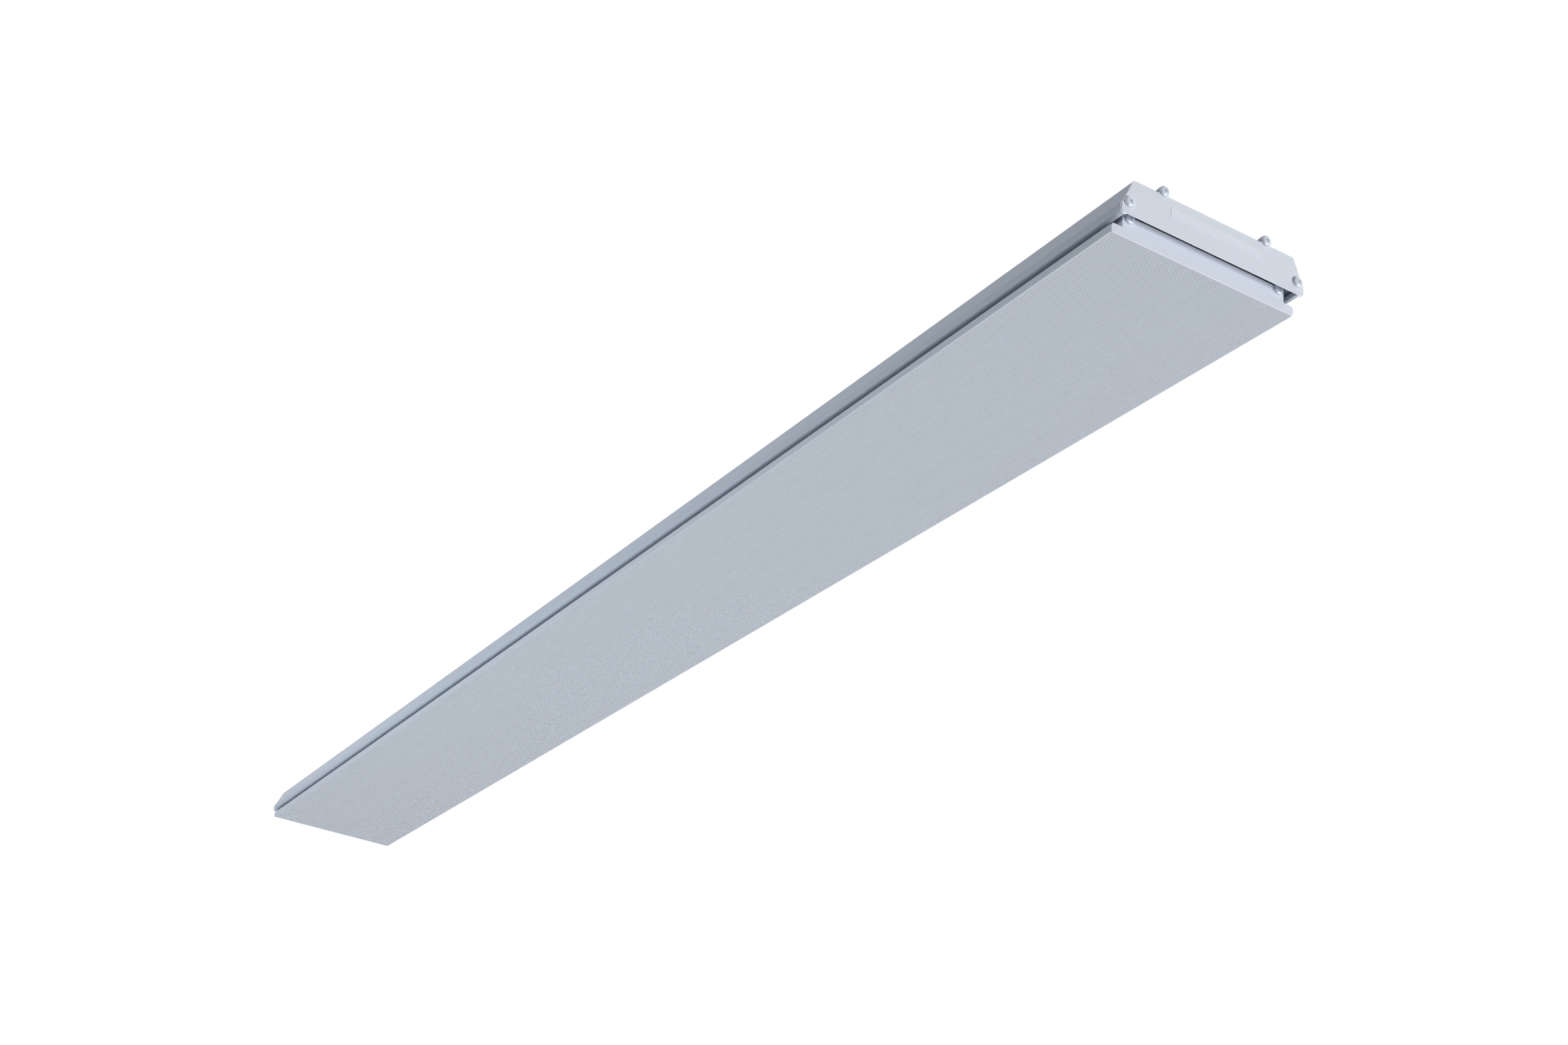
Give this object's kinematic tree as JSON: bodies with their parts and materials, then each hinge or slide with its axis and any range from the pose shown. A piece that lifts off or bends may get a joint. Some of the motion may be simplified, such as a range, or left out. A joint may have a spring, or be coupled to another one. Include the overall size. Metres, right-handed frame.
{
  "type": "infrared strip heater",
  "caption": "Long flat ceiling strip heater: ribbed aluminium radiant panel in a shallow aluminium housing, with sliding brackets and a cable gland on its back.",
  "frame": {"origin": "middle of the radiant face, in the plane of the rib crests", "axes": "+X along the heater towards its wiring space, +Y across it, +Z from the radiant face to the back"},
  "size_m": [1.8062, 0.165, 0.075],
  "materials": {
    "housing_aluminium": "satin anodised",
    "panel_aluminium": "satin anodised",
    "end_plate_paint": "fine satin",
    "screw_steel": "bright zinc",
    "label_film": "matt",
    "element_steel": "heat darkened",
    "plain_brass": "plain",
    "plated_brass": "nickel plated",
    "ceramic": "glazed",
    "sheet_steel": "zinc coated",
    "mineral_mat": "fibrous",
    "shield_aluminium": "mill finish",
    "block_plastic": "matt",
    "cutout_plastic": "matt",
    "brown_sleeve": "silicone sleeve",
    "black_sleeve": "silicone sleeve",
    "blue_sleeve": "silicone sleeve",
    "green_sleeve": "silicone sleeve",
    "seal_rubber": "matt",
    "bracket_steel": "zinc plated"
  },
  "bodies": {
    "heater": {"housing": "housing_aluminium", "terminal_end_plate": "end_plate_paint", "plain_end_plate": "end_plate_paint", "terminal_end_plate_screws": "screw_steel", "plain_end_plate_screws": "screw_steel", "blank_label": "label_film", "radiant_panel": "panel_aluminium", "terminal_panel_cap": "end_plate_paint", "plain_panel_cap": "end_plate_paint", "terminal_panel_cap_screws": "screw_steel", "plain_panel_cap_screws": "screw_steel", "heating_element": "element_steel", "element_ferrules": "plain_brass", "element_seals": "ceramic", "element_pins": "screw_steel", "element_nuts": "plated_brass", "element_clamp_1": "sheet_steel", "element_clamp_2": "sheet_steel", "element_clamp_3": "sheet_steel", "element_clamp_4": "sheet_steel", "element_clamp_5": "sheet_steel", "element_clamp_screws": "screw_steel", "insulation_mat": "mineral_mat", "heat_shield": "shield_aluminium", "panel_hanger_1": "sheet_steel", "panel_hanger_2": "sheet_steel", "panel_hanger_3": "sheet_steel", "panel_hanger_4": "sheet_steel", "panel_hanger_5": "sheet_steel", "centre_standoff": "screw_steel", "centre_screw": "screw_steel", "wiring_tray": "sheet_steel", "tray_screws": "screw_steel", "tray_nuts": "screw_steel", "terminal_block": "block_plastic", "block_inserts": "plain_brass", "block_wire_screws": "plated_brass", "block_fixing_screws": "screw_steel", "thermal_cutout": "cutout_plastic", "cutout_flange_plate": "sheet_steel", "cutout_blades": "plated_brass", "cutout_screws": "screw_steel", "wire_receptacles": "plated_brass", "wire_lugs": "plated_brass", "live_wire": "brown_sleeve", "switched_wire": "black_sleeve", "neutral_wire": "blue_sleeve", "earth_wire": "green_sleeve", "earth_stud": "screw_steel", "earth_nut": "plated_brass", "gland_body": "plated_brass", "gland_seal": "seal_rubber", "gland_dome_nut": "plated_brass", "gland_lock_nut": "plated_brass"},
    "terminal_bracket_body": {"terminal_bracket": "bracket_steel", "terminal_bracket_lock": "screw_steel"},
    "plain_bracket_body": {"plain_bracket": "bracket_steel", "plain_bracket_lock": "screw_steel"}
  },
  "joints": [
    {"name": "terminal_bracket_slide", "type": "slide", "parent": "heater", "child": "terminal_bracket_body", "axis": [1, 0, 0], "range_m": [-0.4, 0.2]},
    {"name": "plain_bracket_slide", "type": "slide", "parent": "heater", "child": "plain_bracket_body", "axis": [1, 0, 0], "range_m": [-0.2, 0.4]}
  ]
}
